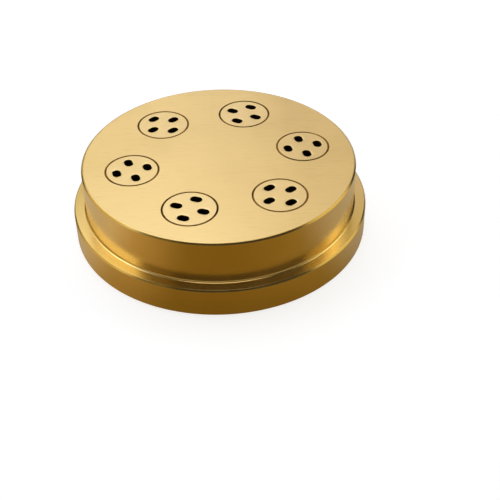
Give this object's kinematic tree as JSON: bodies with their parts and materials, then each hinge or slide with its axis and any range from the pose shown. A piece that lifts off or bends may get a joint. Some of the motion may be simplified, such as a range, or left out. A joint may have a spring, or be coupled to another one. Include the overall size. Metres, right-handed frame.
{
  "type": "pasta extrusion die",
  "caption": "Round flanged brass die for a pasta extruder, with loose cup-shaped inserts set flush in its face and oval outlets that form flat strands of dough.",
  "frame": {"origin": "centre of the rear seat face, on the die's axis", "axes": "+Z along the die's axis out of the outlet face, +X through the first insert"},
  "size_m": [0.078, 0.078, 0.0198],
  "materials": {
    "die_brass": "brushed face, turned sides",
    "insert_brass": "brushed face, turned cup"
  },
  "bodies": {
    "root": {"die_body": "die_brass", "insert_1": "insert_brass", "insert_2": "insert_brass", "insert_3": "insert_brass", "insert_4": "insert_brass", "insert_5": "insert_brass", "insert_6": "insert_brass"}
  },
  "joints": []
}
